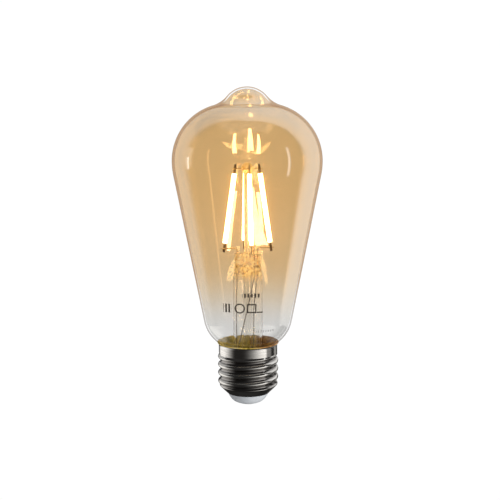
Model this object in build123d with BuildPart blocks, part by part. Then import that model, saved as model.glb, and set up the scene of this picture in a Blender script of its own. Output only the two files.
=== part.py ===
"""Radio-controlled decorative lamp: a tapered glass bulb with four LED filaments on a screw cap.

Units are millimetres. +Z runs up the lamp's axis from the cap to the tip of the glass. The origin is
the centre of the flat contact face under the cap. +X is the side of the right filament and -Y is the
front. Every wire, glass part and circuit part is a separate piece.
"""

import os
from math import cos, hypot, radians, sin, sqrt, tan

from build123d import *

# ---- Glass bulb: the outer outline, from the tip down to the neck ----
TIP_Z = 136.8  # top of the nipple
NIPPLE_ARC = 11.0  # radius of the nipple's ball
HOLLOW_ARC = 12.5  # concave arc between the nipple and the dome
BULB_RADIUS = 32.0  # widest radius
WIDEST_Z = 105.5  # height of the widest circle
DOME_ARC = 24.5  # arc above the widest circle
FLANK_ARC = 30.0  # short arc below the widest circle
FLANK_LEAN = radians(11.13)  # lean of the straight flank from the axis
FLANK_FOOT_RADIUS = 19.0  # radius where the straight flank ends
SHOULDER_ARC = 15.0  # arc that turns the flank in towards the neck
NECK_ARC = 3.0  # concave arc into the neck
NECK_RADIUS = 11.0
NECK_END_Z = 19.3  # where the neck is sealed to the flare's rim
GLASS = 0.9  # wall thickness of the bulb and the flare

# ---- Glass stem ----
FLARE_RADIUS = 6.3  # outside of the flare's straight tube
FLARE_ARC = 3.8  # trumpet arc at the foot of the flare
TUBE_TOP_Z = 54.0  # where the tube starts to flatten into the press
ROOF_Z = 59.5  # top of the hollow inside the stem
PRESS_FOOT_Z = 61.0  # where the press has its full flat shape
PRESS_TOP_Z = 66.0
PRESS_HALF_WIDTH = 5.6
PRESS_HALF_DEPTH = 1.9
ROOF_HALF_WIDTH = 4.9
ROOF_HALF_DEPTH = 1.2
EXHAUST_RADIUS = 2.0
EXHAUST_BORE = 1.3
EXHAUST_TIP_Z = 17.4  # melted-off end of the exhaust tube
BLOW_HOLE_RADIUS = 0.9
POST_RADIUS = 1.5
BUTTON_RADIUS = 2.6  # glass bead on top of the post
BUTTON_Z = 102.5

# ---- Filaments ----
FILAMENTS = {"right": 10.0, "back": 100.0, "left": 190.0, "front": 280.0}  # name: azimuth in degrees
FILAMENT_FOOT = (10.4, 66.7)  # radius and height of the lower end
FILAMENT_HEAD = (5.0, 104.2)  # radius and height of the upper end
TAB_LENGTH = 4.6  # metal end tab, which runs a little way into the coating
TAB_WIDTH = 1.0
TAB_THICKNESS = 0.25
TAB_INSIDE = 0.6
COATING_WIDTH = 1.9  # phosphor coating, across the filament's wide way
COATING_DEPTH = 1.5
STRIP_WIDTH = 0.9
STRIP_THICKNESS = 0.4
CHIP_COUNT = 28
CHIP_SIZE = (0.5, 0.15, 0.75)  # across, thick and along the filament

# ---- Wires ----
WIRE = 0.5  # lead and bridge wires
THIN_WIRE = 0.4  # leads below the press
BEND = 0.9  # bend radius of the lead and bridge wires
PRESS_LEADS = {"left": -4.5, "common": 2.7, "right": 4.1}  # name: X of each lead in the press
LOWER_WIRE_Z = 68.3  # height at which the leads cross the lower tabs
UPPER_WIRE_Z = 102.4  # height at which the bridges cross the upper tabs
SEAL_FOOT_Z = 60.2
LEAD_FOOT_Z = 15.8  # where the leads are soldered to the driver board
SEAL_TOP_Z = 65.0
WIRE_REACH = 1.3  # how far a wire's end stands past the tab that it is welded to
WELD_GAP = 0.01  # clearance between a wire and the tab beside it

# ---- Screw cap ----
CREST_RADIUS = 13.15  # E27 thread
ROOT_RADIUS = 12.1
PITCH = 3.629  # seven turns to the inch
CREST_Z = 13.69 + PITCH / 2  # height of one crest on the +X side
THREAD_FOOT_Z = 7.9
THREAD_TOP_Z = 22.6
THREAD_FADE = 1.5  # length over which the thread runs out at each end
SKIRT_RADIUS = 12.75
RIM_Z = 26.9
RIM_FLARE = 0.45
RIM_FLARE_HEIGHT = 0.9
SHELL_FOOT_Z = 4.9
SHELL_FOOT_RADIUS = 9.3
SHELL = 0.3  # sheet thickness
SHELL_CORNER = 0.6  # softness of the corner between the cone and the wall
SHELL_ROWS = 86  # points along the shell's outline
SHELL_SECTIONS = 12  # sections in each half turn
INSULATOR_FOOT_Z = 0.7
INSULATOR_TOP_Z = 6.2
FLANGE_RISE = 0.9  # height of the insulator's conical seat inside the shell
INSULATOR_BORE = 1.65
PLATE_RADIUS = 4.7
PLATE_FACE_Z = 0.3
PIN_HEAD_RADIUS = 2.7
PIN_SHANK_RADIUS = 0.8
CEMENT_FOOT_Z = 20.0  # how far down between the neck and the thread the cement runs
CEMENT_BEAD = (0.15, 0.6)  # how far the cement stands past the rim, outwards and upwards
CEMENT_GAP = 0.03  # clearance between the cement and the sheet

# ---- Driver and radio ----
BOARD = (18.6, 1.0, 10.0)  # width, thickness and height of the driver board
BOARD_PLACE = (0.0, 0.9, 12.1)
SLEEVE_RADIUS = 11.55
SLEEVE_WALL = 0.3
SLEEVE_Z = (8.2, 16.7)
CAN_RADIUS = 3.15
CAN_LENGTH = 7.2
CAN_PLACE = (3.9, -4.2, 12.6)
COIL_PLACE = (-6.0, 12.3)  # X and Z of its axis, which is at right angles to the board
COIL_FLANGE_RADIUS = 2.9
COIL_LENGTH = 5.0
RADIO_BOARD = (6.0, 0.6, 13.2)
RADIO_PLACE = (3.9, 15.6)  # Y and Z of its centre
RADIO_CHIP = (4.0, 0.9, 4.0)
RADIO_CHIP_Z = 12.6
ANTENNA = (4.4, 0.9, 0.4)  # length of a run, pitch of the runs and width of the track
ANTENNA_Z = 17.6  # height of its lowest run
ANTENNA_RUNS = 5
HEADER_Z = 9.9
HEADER_PITCH = 1.27
PIN_SQUARE = 0.4
BOARD_GAP = 0.02  # clearance between a part and the board that it sits on

os.makedirs("parts", exist_ok=True)


def finish(piece, name):
    """Labels a finished piece and writes it to its own file."""
    piece.part.label = name
    export_step(piece.part, f"parts/{name}.step")
    print(name, "solids", len(piece.part.solids()), "mm3", round(piece.part.volume, 2))


def unit(vector):
    """The direction of a flat vector."""
    length = hypot(*vector)
    return (vector[0] / length, vector[1] / length)


def along(point, direction, distance):
    """The flat point at a distance from another in a direction."""
    return (point[0] + direction[0] * distance, point[1] + direction[1] * distance)


def circles_meet(centre_a, radius_a, centre_b, radius_b):
    """Where two circles cross, on the left of the way from the first centre to the second."""
    apart = hypot(centre_b[0] - centre_a[0], centre_b[1] - centre_a[1])
    ahead = unit((centre_b[0] - centre_a[0], centre_b[1] - centre_a[1]))
    run = (radius_a**2 - radius_b**2 + apart**2) / (2 * apart)
    rise = sqrt(radius_a**2 - run**2)
    return along(along(centre_a, ahead, run), (-ahead[1], ahead[0]), rise)


def draw_arc(centre, radius, start, end):
    """Adds the arc between two directions from a centre, the short way round."""
    middle = unit((start[0] + end[0], start[1] + end[1]))
    ThreePointArc(
        along(centre, start, radius), along(centre, middle, radius), along(centre, end, radius)
    )


def draw_glass(inset):
    """Adds the bulb's outline, set in from the outer surface, and returns its top and bottom points."""
    nipple = (0.0, TIP_Z - NIPPLE_ARC)
    dome = (BULB_RADIUS - DOME_ARC, WIDEST_Z)
    flank = (BULB_RADIUS - FLANK_ARC, WIDEST_Z)
    hollow = circles_meet(nipple, NIPPLE_ARC + HOLLOW_ARC, dome, DOME_ARC + HOLLOW_ARC)
    lean = (cos(FLANK_LEAN), -sin(FLANK_LEAN))
    flank_top = along(flank, lean, FLANK_ARC)
    drop = (flank_top[0] - FLANK_FOOT_RADIUS) / tan(FLANK_LEAN)
    flank_foot = (FLANK_FOOT_RADIUS, flank_top[1] - drop)
    shoulder = along(flank_foot, lean, -SHOULDER_ARC)
    across = NECK_RADIUS + NECK_ARC - shoulder[0]
    neck = (NECK_RADIUS + NECK_ARC, shoulder[1] - sqrt((SHOULDER_ARC + NECK_ARC) ** 2 - across**2))

    to_hollow = unit((hollow[0] - nipple[0], hollow[1] - nipple[1]))
    from_dome = unit((hollow[0] - dome[0], hollow[1] - dome[1]))
    to_neck = unit((neck[0] - shoulder[0], neck[1] - shoulder[1]))
    draw_arc(nipple, NIPPLE_ARC - inset, (0, 1), to_hollow)
    draw_arc(hollow, HOLLOW_ARC + inset, (-to_hollow[0], -to_hollow[1]), (-from_dome[0], -from_dome[1]))
    draw_arc(dome, DOME_ARC - inset, from_dome, (1, 0))
    draw_arc(flank, FLANK_ARC - inset, (1, 0), lean)
    Line(along(flank, lean, FLANK_ARC - inset), along(shoulder, lean, SHOULDER_ARC - inset))
    draw_arc(shoulder, SHOULDER_ARC - inset, lean, to_neck)
    draw_arc(neck, NECK_ARC + inset, (-to_neck[0], -to_neck[1]), (-1, 0))
    Line((NECK_RADIUS - inset, neck[1]), (NECK_RADIUS - inset, NECK_END_Z))
    return (0, TIP_Z - inset), (NECK_RADIUS - inset, NECK_END_Z)


def polar(radius, azimuth, z):
    """A point given by its distance from the axis, its azimuth in degrees and its height."""
    return Vector(radius * cos(radians(azimuth)), radius * sin(radians(azimuth)), z)


def bent_wire(points, diameter, bend):
    """A round wire along straight runs joined by arcs."""
    with BuildPart() as wire:
        with BuildLine() as route:
            if len(points) == 2:
                Line(*points)
            else:
                FilletPolyline(*points, radius=bend)
        with BuildSketch(Plane(origin=route.line @ 0, z_dir=route.line % 0)):
            Circle(diameter / 2)
        sweep()
    return wire


# ---- Glass bulb ----
with BuildPart() as glass_envelope:
    with BuildSketch(Plane.XZ):
        with BuildLine():
            outer_tip, outer_end = draw_glass(0)
            inner_tip, inner_end = draw_glass(GLASS)
            Line(outer_end, inner_end)
            Line(inner_tip, outer_tip)
        make_face()
    revolve(axis=Axis.Z)
finish(glass_envelope, "glass_envelope")

# ---- Lead wires: copper below the press, seal wires inside it and nickel above it ----
LEFT, COMMON, RIGHT = (PRESS_LEADS[name] for name in ("left", "common", "right"))
LEAD_Y = BOARD_PLACE[1] - BOARD[1] / 2 - THIN_WIRE / 2 - WELD_GAP  # on the driver board's front
SIDE_STEP = TAB_THICKNESS / 2 + WIRE / 2 + WELD_GAP  # wire axis to filament plane
LOWER_TAB_RADIUS = FILAMENT_FOOT[0] - 0.23
UPPER_TAB_RADIUS = FILAMENT_HEAD[0] + 0.23


def beside_tab(radius, azimuth, side, z):
    """A point beside a filament's radial plane, where a wire passes the flat of the tab."""
    step = polar(SIDE_STEP * side, azimuth + 90, 0)
    return polar(radius, azimuth, z) + step


inner_lead_left = bent_wire(
    [
        (LEFT, 0, SEAL_TOP_Z),
        (LEFT, 0, LOWER_WIRE_Z),
        beside_tab(LOWER_TAB_RADIUS - 3.0, FILAMENTS["left"], 1, LOWER_WIRE_Z + 0.1),
        beside_tab(LOWER_TAB_RADIUS + WIRE_REACH, FILAMENTS["left"], 1, LOWER_WIRE_Z),
    ],
    WIRE,
    BEND,
)
inner_lead_right = bent_wire(
    [
        (RIGHT, 0, SEAL_TOP_Z),
        (RIGHT, 0, LOWER_WIRE_Z),
        beside_tab(LOWER_TAB_RADIUS - 2.6, FILAMENTS["right"], 1, LOWER_WIRE_Z + 0.1),
        beside_tab(LOWER_TAB_RADIUS + WIRE_REACH, FILAMENTS["right"], 1, LOWER_WIRE_Z),
    ],
    WIRE,
    BEND,
)
inner_lead_common = bent_wire(
    [(COMMON, 0, SEAL_TOP_Z), (COMMON, 0, LOWER_WIRE_Z + 0.6)], WIRE, BEND
)
common_crossbar = bent_wire(
    [
        beside_tab(LOWER_TAB_RADIUS + WIRE_REACH, FILAMENTS["front"], 1, LOWER_WIRE_Z),
        beside_tab(LOWER_TAB_RADIUS - 3.0, FILAMENTS["front"], 1, LOWER_WIRE_Z),
        (COMMON + WIRE + WELD_GAP, -1.2, LOWER_WIRE_Z),
        (COMMON + WIRE + WELD_GAP, 1.2, LOWER_WIRE_Z),
        beside_tab(LOWER_TAB_RADIUS - 3.0, FILAMENTS["back"], -1, LOWER_WIRE_Z),
        beside_tab(LOWER_TAB_RADIUS + WIRE_REACH, FILAMENTS["back"], -1, LOWER_WIRE_Z),
    ],
    WIRE,
    BEND,
)
with BuildPart() as seal_wires:
    for lead_x in PRESS_LEADS.values():
        with BuildSketch(Plane.XY.offset(SEAL_FOOT_Z)):
            with Locations((lead_x, 0)):
                Circle(WIRE / 2)
        extrude(amount=SEAL_TOP_Z - SEAL_FOOT_Z)

outer_lead_left = bent_wire(
    [
        (-5.0, LEAD_Y, LEAD_FOOT_Z),
        (-5.0, LEAD_Y, 18.2),
        (-5.0, -0.6, 24.0),
        (-4.95, -0.4, 47.0),
        (LEFT, 0, 57.0),
        (LEFT, 0, SEAL_FOOT_Z),
    ],
    THIN_WIRE,
    1.5,
)
outer_lead_right = bent_wire(
    [
        (2.5, LEAD_Y, LEAD_FOOT_Z),
        (2.5, LEAD_Y, 18.2),
        (2.5, -1.4, 24.0),
        (2.5, -1.3, 42.0),
        (RIGHT, 0, 57.0),
        (RIGHT, 0, SEAL_FOOT_Z),
    ],
    THIN_WIRE,
    1.5,
)
outer_lead_common = bent_wire(
    [
        (-3.4, LEAD_Y, LEAD_FOOT_Z),
        (-3.4, LEAD_Y, 18.2),
        (-3.9, -2.4, 26.0),
        (-0.7, -3.3, 40.0),
        (COMMON, -1.4, 55.0),
        (COMMON, 0, 57.8),
        (COMMON, 0, SEAL_FOOT_Z),
    ],
    THIN_WIRE,
    1.2,
)

# ---- Glass stem: flare, press and blow hole, moulded round the wires ----
with BuildPart() as glass_stem:
    rim_radius = NECK_RADIUS - GLASS
    arc_z = NECK_END_Z + FLARE_ARC
    with BuildSketch(Plane.XZ):
        with BuildLine():
            Line((FLARE_RADIUS, TUBE_TOP_Z), (FLARE_RADIUS, arc_z))
            draw_arc((rim_radius, arc_z), FLARE_ARC, (-1, 0), (0, -1))
            Polyline(
                (rim_radius, NECK_END_Z),
                (NECK_RADIUS, NECK_END_Z),
                (NECK_RADIUS, NECK_END_Z - GLASS),
                (rim_radius, NECK_END_Z - GLASS),
            )
            draw_arc((rim_radius, arc_z), FLARE_ARC + GLASS, (-1, 0), (0, -1))
            Polyline(
                (FLARE_RADIUS - GLASS, arc_z),
                (FLARE_RADIUS - GLASS, TUBE_TOP_Z),
                (FLARE_RADIUS, TUBE_TOP_Z),
            )
        make_face()
    revolve(axis=Axis.Z)
    with BuildSketch(Plane.XY.offset(TUBE_TOP_Z)):
        Circle(FLARE_RADIUS)
    with BuildSketch(Plane.XY.offset(PRESS_FOOT_Z)):
        Ellipse(PRESS_HALF_WIDTH, PRESS_HALF_DEPTH)
    loft()
    with BuildSketch(Plane.XY.offset(PRESS_FOOT_Z)):
        Ellipse(PRESS_HALF_WIDTH, PRESS_HALF_DEPTH)
    extrude(amount=PRESS_TOP_Z - PRESS_FOOT_Z)
    with BuildSketch(Plane.XY.offset(TUBE_TOP_Z)):
        Circle(FLARE_RADIUS - GLASS)
    with BuildSketch(Plane.XY.offset(ROOF_Z)):
        Ellipse(ROOF_HALF_WIDTH, ROOF_HALF_DEPTH)
    loft(mode=Mode.SUBTRACT)
    blow_hole = Plane(origin=(0, 0, ROOF_Z - 2.5), z_dir=(0, 1, 0.6))
    with BuildSketch(blow_hole):
        Circle(BLOW_HOLE_RADIUS)
    extrude(amount=2 * FLARE_RADIUS, mode=Mode.SUBTRACT)
    for wire in (
        seal_wires,
        inner_lead_left,
        inner_lead_right,
        inner_lead_common,
        outer_lead_left,
        outer_lead_right,
        outer_lead_common,
    ):
        add(wire.part, mode=Mode.SUBTRACT)
finish(glass_stem, "glass_stem")

with BuildPart() as exhaust_tube:
    taper_z = EXHAUST_TIP_Z + 3.0
    with BuildSketch(Plane.XZ):
        with BuildLine():
            Polyline(
                (EXHAUST_BORE, PRESS_FOOT_Z),
                (EXHAUST_RADIUS, PRESS_FOOT_Z),
                (EXHAUST_RADIUS, taper_z),
                (0.5, EXHAUST_TIP_Z),
                (0, EXHAUST_TIP_Z),
                (0, taper_z - 1.2),
                (EXHAUST_BORE, taper_z),
                (EXHAUST_BORE, PRESS_FOOT_Z),
            )
        make_face()
    revolve(axis=Axis.Z)
    with BuildSketch(blow_hole):
        Circle(BLOW_HOLE_RADIUS)
    extrude(amount=2 * FLARE_RADIUS, mode=Mode.SUBTRACT)
    add(glass_stem.part, mode=Mode.SUBTRACT)
    top_scraps = exhaust_tube.solids().sort_by(SortBy.VOLUME)[:-1]
    for scrap in top_scraps:
        add(scrap, mode=Mode.SUBTRACT)
finish(exhaust_tube, "exhaust_tube")

# ---- Upper bridges: each joins two neighbouring filaments through the post's glass bead ----
def upper_bridge(first, second):
    """An L-shaped wire from one upper tab, through the bead, to the next tab."""
    corner = beside_tab(SIDE_STEP, FILAMENTS[first], 1, UPPER_WIRE_Z)
    reach = UPPER_TAB_RADIUS + WIRE_REACH
    return bent_wire(
        [
            beside_tab(reach, FILAMENTS[first], 1, UPPER_WIRE_Z),
            corner,
            beside_tab(reach, FILAMENTS[second], -1, UPPER_WIRE_Z),
        ],
        WIRE,
        BEND,
    )


upper_bridge_warm = upper_bridge("right", "back")
upper_bridge_cool = upper_bridge("left", "front")

with BuildPart() as centre_post:
    with BuildSketch(Plane.XZ):
        with BuildLine():
            joint_z = BUTTON_Z - sqrt(BUTTON_RADIUS**2 - POST_RADIUS**2)
            Polyline((0, PRESS_TOP_Z), (POST_RADIUS, PRESS_TOP_Z), (POST_RADIUS, joint_z))
            ThreePointArc(
                (POST_RADIUS, joint_z), (BUTTON_RADIUS, BUTTON_Z), (0, BUTTON_Z + BUTTON_RADIUS)
            )
            Line((0, BUTTON_Z + BUTTON_RADIUS), (0, PRESS_TOP_Z))
        make_face()
    revolve(axis=Axis.Z)
    for wire in (upper_bridge_warm, upper_bridge_cool):
        add(wire.part, mode=Mode.SUBTRACT)
finish(centre_post, "centre_post")

finish(inner_lead_left, "inner_lead_left")
finish(inner_lead_right, "inner_lead_right")
finish(inner_lead_common, "inner_lead_common")
finish(common_crossbar, "common_crossbar")
finish(seal_wires, "seal_wires")
finish(outer_lead_left, "outer_lead_left")
finish(outer_lead_right, "outer_lead_right")
finish(outer_lead_common, "outer_lead_common")
finish(upper_bridge_warm, "upper_bridge_warm")
finish(upper_bridge_cool, "upper_bridge_cool")


# ---- Filaments: strip, chips, coating and end tabs ----
def filament_plane(azimuth):
    """A plane at a filament's lower end, with Z along the filament and X away from the axis."""
    foot = polar(FILAMENT_FOOT[0], azimuth, FILAMENT_FOOT[1])
    head = polar(FILAMENT_HEAD[0], azimuth, FILAMENT_HEAD[1])
    return Plane(origin=foot, x_dir=polar(1, azimuth, 0), z_dir=head - foot)


FILAMENT_LENGTH = hypot(FILAMENT_HEAD[0] - FILAMENT_FOOT[0], FILAMENT_HEAD[1] - FILAMENT_FOOT[1])
COATING_START = TAB_LENGTH - TAB_INSIDE
COATING_LENGTH = FILAMENT_LENGTH - 2 * COATING_START
STRIP_LENGTH = FILAMENT_LENGTH - 2 * TAB_LENGTH
CHIP_PITCH = STRIP_LENGTH / CHIP_COUNT
FROM_FOOT = (Align.CENTER, Align.CENTER, Align.MIN)

for name, azimuth in FILAMENTS.items():
    foot_plane = filament_plane(azimuth)
    with BuildPart() as strip:
        with Locations(foot_plane.offset(TAB_LENGTH)):
            Box(STRIP_WIDTH, STRIP_THICKNESS, STRIP_LENGTH, align=FROM_FOOT)
    with BuildPart() as chips:
        for number in range(CHIP_COUNT):
            with Locations(foot_plane.offset(TAB_LENGTH + (number + 0.5) * CHIP_PITCH)):
                with Locations((0, STRIP_THICKNESS / 2 + CHIP_SIZE[1] / 2, 0)):
                    Box(*CHIP_SIZE)
    with BuildPart() as tabs:
        for start in (0, FILAMENT_LENGTH - TAB_LENGTH):
            with Locations(foot_plane.offset(start)):
                Box(TAB_WIDTH, TAB_THICKNESS, TAB_LENGTH, align=FROM_FOOT)
    with BuildPart() as coating:
        with BuildSketch(foot_plane.offset(COATING_START)):
            RectangleRounded(COATING_WIDTH, COATING_DEPTH, 0.5)
        extrude(amount=COATING_LENGTH)
        for core in (strip, chips, tabs):
            add(core.part, mode=Mode.SUBTRACT)
    finish(strip, f"filament_{name}_strip")
    finish(chips, f"filament_{name}_chips")
    finish(tabs, f"filament_{name}_tabs")
    finish(coating, f"filament_{name}_coating")


# ---- Screw shell: thin sheet with a rolled right-hand thread ----
def plain_radius(z):
    """The shell's outer radius with no thread: foot cone, thread roots, skirt and flared rim."""
    mid_thread = (ROOT_RADIUS + CREST_RADIUS) / 2
    share = min(1.0, max(0.0, (z - THREAD_TOP_Z) / THREAD_FADE + 1))
    wall = mid_thread + (SKIRT_RADIUS - mid_thread) * share
    flare = RIM_FLARE * max(0.0, (z - RIM_Z) / RIM_FLARE_HEIGHT + 1) ** 2
    cone = SHELL_FOOT_RADIUS + (z - SHELL_FOOT_Z)
    if wall - cone > SHELL_CORNER:
        return cone
    return wall + flare - SHELL_CORNER * max(0.0, (wall - cone) / SHELL_CORNER + 1) ** 2 / 4


def thread_wave(offset):
    """The knuckle thread's height over its mid line at a distance along the axis from a crest."""
    depth = CREST_RADIUS - ROOT_RADIUS
    knuckle = ((PITCH / 4) ** 2 + (depth / 2) ** 2) / depth
    from_crest = abs((offset / PITCH + 0.5) % 1 - 0.5) * PITCH
    if from_crest <= PITCH / 4:
        return depth / 2 - knuckle + sqrt(knuckle**2 - from_crest**2)
    return knuckle - depth / 2 - sqrt(knuckle**2 - (PITCH / 2 - from_crest) ** 2)


def shell_radius(z, turn):
    """The shell's outer radius at a height, at a share of a turn counted from +X."""
    rise = min(1.0, max(0.0, (z - THREAD_FOOT_Z) / THREAD_FADE))
    fall = min(1.0, max(0.0, (THREAD_TOP_Z - z) / THREAD_FADE))
    strength = rise * fall
    strength = strength * strength * (3 - 2 * strength)
    return plain_radius(z) + strength * thread_wave(z - CREST_Z - turn * PITCH)


def shell_inner_radius(z, turn):
    """The sheet's inner radius, one sheet thickness in from the outer surface."""
    step = 0.02
    slope = (shell_radius(z + step, turn) - shell_radius(z - step, turn)) / (2 * step)
    return shell_radius(z, turn) - SHELL * sqrt(1 + slope * slope)


def shell_section(turn):
    """The sheet's closed outline in the half plane at a share of a turn."""
    steps = [row / SHELL_ROWS for row in range(SHELL_ROWS + 1)]
    heights = [SHELL_FOOT_Z + (RIM_Z - SHELL_FOOT_Z) * step for step in steps]
    outer = [(shell_radius(z, turn), z) for z in heights]
    inner = [(shell_inner_radius(z, turn), z) for z in heights]
    outwards = polar(1, 360 * turn, 0)
    half_plane = Plane(origin=(0, 0, 0), x_dir=outwards, z_dir=polar(1, 360 * turn - 90, 0))
    with BuildSketch(half_plane) as section:
        with BuildLine():
            outside = Edge.make_spline(outer, parameters=steps)
            inside = Edge.make_spline(inner, parameters=steps)
            add(outside)
            add(inside)
            Line(outside @ 0, inside @ 0)
            Line(outside @ 1, inside @ 1)
        make_face()
    return section.sketch.faces()[0]


with BuildPart() as cap_shell:
    for half in (0, 1):
        turns = [(half + step / SHELL_SECTIONS) / 2 for step in range(SHELL_SECTIONS + 1)]
        loft([shell_section(turn) for turn in turns], clean=False)
finish(cap_shell, "cap_shell")

# ---- Cap insulator and centre contact ----
with BuildPart() as cap_insulator:
    seat = SHELL_FOOT_RADIUS - SHELL * sqrt(2) - 0.06  # just off the shell's inner cone
    with BuildSketch(Plane.XZ):
        with BuildLine():
            Polyline(
                (INSULATOR_BORE, PLATE_FACE_Z + 0.6),
                (PLATE_RADIUS + 0.1, PLATE_FACE_Z + 0.6),
                (PLATE_RADIUS + 0.1, INSULATOR_FOOT_Z - 0.1),
                (PLATE_RADIUS + 0.7, INSULATOR_FOOT_Z),
                (6.4, 1.2),
                (7.5, 2.2),
                (8.4, 3.5),
                (SHELL_FOOT_RADIUS - 0.35, SHELL_FOOT_Z - 0.1),
                (seat, SHELL_FOOT_Z),
                (seat + FLANGE_RISE, SHELL_FOOT_Z + FLANGE_RISE),
                (seat + FLANGE_RISE, INSULATOR_TOP_Z),
                (INSULATOR_BORE, INSULATOR_TOP_Z),
                (INSULATOR_BORE, PLATE_FACE_Z + 0.6),
            )
        make_face()
    revolve(axis=Axis.Z)
finish(cap_insulator, "cap_insulator")

with BuildPart() as contact_plate:
    with BuildSketch(Plane.XZ):
        with BuildLine():
            Polyline(
                (PIN_SHANK_RADIUS, PLATE_FACE_Z),
                (PLATE_RADIUS - 0.4, PLATE_FACE_Z),
                (PLATE_RADIUS, PLATE_FACE_Z + 0.35),
                (PLATE_RADIUS, PLATE_FACE_Z + 0.6),
                (INSULATOR_BORE, PLATE_FACE_Z + 0.6),
                (INSULATOR_BORE, INSULATOR_TOP_Z + 0.4),
                (PIN_SHANK_RADIUS + 0.3, INSULATOR_TOP_Z + 0.4),
                (PIN_SHANK_RADIUS, PLATE_FACE_Z),
            )
        make_face()
    revolve(axis=Axis.Z)
finish(contact_plate, "contact_plate")

with BuildPart() as contact_pin:
    with BuildSketch(Plane.XZ):
        with BuildLine():
            Polyline(
                (0, 0),
                (PIN_HEAD_RADIUS - 0.25, 0),
                (PIN_HEAD_RADIUS, PLATE_FACE_Z * 0.6),
                (PIN_HEAD_RADIUS, PLATE_FACE_Z),
                (PIN_SHANK_RADIUS, PLATE_FACE_Z),
                (PIN_SHANK_RADIUS * 0.8, 4.4),
                (0, 4.9),
                (0, 0),
            )
        make_face()
    revolve(axis=Axis.Z)
finish(contact_pin, "contact_pin")

# ---- Shell lead, pressed into the cement between the glass and the skirt ----
shell_lead = bent_wire(
    [
        (-8.4, LEAD_Y, LEAD_FOOT_Z),
        (-8.4, LEAD_Y, 17.2),
        (-11.4, -0.3, 17.6),
        (-11.4, -0.3, 24.6),
    ],
    THIN_WIRE,
    0.8,
)
finish(shell_lead, "shell_lead")

with BuildPart() as basing_cement:
    inside_roots = ROOT_RADIUS - SHELL - 2 * CEMENT_GAP
    inside_skirt = SKIRT_RADIUS - SHELL - CEMENT_GAP
    rim_radius = SKIRT_RADIUS + RIM_FLARE
    with BuildSketch(Plane.XZ):
        with BuildLine():
            Polyline(
                (NECK_RADIUS - GLASS, CEMENT_FOOT_Z),
                (inside_roots, CEMENT_FOOT_Z),
                (inside_roots, THREAD_TOP_Z + 0.1),
                (inside_skirt, THREAD_TOP_Z + 0.1),
                (inside_skirt, RIM_Z - 0.6),
                (inside_skirt + 0.28, RIM_Z + CEMENT_GAP),
                (rim_radius + 0.1, RIM_Z + CEMENT_GAP),
                (rim_radius + CEMENT_BEAD[0], RIM_Z + CEMENT_BEAD[1] / 2),
                (rim_radius - 0.2, RIM_Z + CEMENT_BEAD[1]),
                (NECK_RADIUS - GLASS, RIM_Z + CEMENT_BEAD[1]),
                (NECK_RADIUS - GLASS, CEMENT_FOOT_Z),
            )
        make_face()
    revolve(axis=Axis.Z)
    with BuildSketch(Plane.XZ):
        with BuildLine():
            filled_tip, filled_end = draw_glass(0)
            Polyline(filled_end, (0, NECK_END_Z), filled_tip)
        make_face()
    revolve(axis=Axis.Z, mode=Mode.SUBTRACT)
    add(shell_lead.part, mode=Mode.SUBTRACT)
finish(basing_cement, "basing_cement")

# ---- Driver: insulating sleeve, board and parts ----
with BuildPart() as driver_sleeve:
    with BuildSketch(Plane.XY.offset(SLEEVE_Z[0])):
        Circle(SLEEVE_RADIUS)
        Circle(SLEEVE_RADIUS - SLEEVE_WALL, mode=Mode.SUBTRACT)
    extrude(amount=SLEEVE_Z[1] - SLEEVE_Z[0])
finish(driver_sleeve, "driver_sleeve")

board_front = BOARD_PLACE[1] - BOARD[1] / 2
board_back = BOARD_PLACE[1] + BOARD[1] / 2
board_top = BOARD_PLACE[2] + BOARD[2] / 2
board_foot = BOARD_PLACE[2] - BOARD[2] / 2

with BuildPart() as driver_board:
    with BuildSketch(Plane.XZ.offset(-board_back)):
        with Locations((BOARD_PLACE[0], BOARD_PLACE[2])):
            RectangleRounded(BOARD[0], BOARD[2], 0.8)
    extrude(amount=BOARD[1])
finish(driver_board, "driver_board")

with BuildPart() as bulk_capacitor:
    with BuildSketch(Plane.YZ.offset(CAN_PLACE[0] - CAN_LENGTH / 2)):
        with Locations((CAN_PLACE[1], CAN_PLACE[2])):
            Circle(CAN_RADIUS)
    extrude(amount=CAN_LENGTH)
    fillet(bulk_capacitor.edges().filter_by(GeomType.CIRCLE).sort_by(Axis.X)[-1], 0.5)
    with BuildSketch(Plane.YZ.offset(CAN_PLACE[0] - CAN_LENGTH / 2)):
        with Locations((CAN_PLACE[1], CAN_PLACE[2])):
            Circle(CAN_RADIUS - 0.4)
    extrude(amount=1.0, mode=Mode.SUBTRACT)
finish(bulk_capacitor, "bulk_capacitor")

with BuildPart() as capacitor_bung:
    with BuildSketch(Plane.YZ.offset(CAN_PLACE[0] - CAN_LENGTH / 2 + 0.1)):
        with Locations((CAN_PLACE[1], CAN_PLACE[2])):
            Circle(CAN_RADIUS - 0.4)
    extrude(amount=0.9)
finish(capacitor_bung, "capacitor_bung")

with BuildPart() as inductor_core:
    core_back = board_back + BOARD_GAP
    for start, radius, length in (
        (0, COIL_FLANGE_RADIUS, 0.8),
        (0.8, 1.3, COIL_LENGTH - 1.6),
        (COIL_LENGTH - 0.8, COIL_FLANGE_RADIUS, 0.8),
    ):
        with BuildSketch(Plane.XZ.offset(-core_back - start)):
            with Locations((COIL_PLACE[0], COIL_PLACE[1])):
                Circle(radius)
        extrude(amount=-length)
finish(inductor_core, "inductor_core")

with BuildPart() as inductor_winding:
    with BuildSketch(Plane.XZ.offset(-core_back - 0.8)):
        with Locations((COIL_PLACE[0], COIL_PLACE[1])):
            Circle(COIL_FLANGE_RADIUS - 0.3)
            Circle(1.3, mode=Mode.SUBTRACT)
    extrude(amount=-(COIL_LENGTH - 1.6))
finish(inductor_winding, "inductor_winding")


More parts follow.
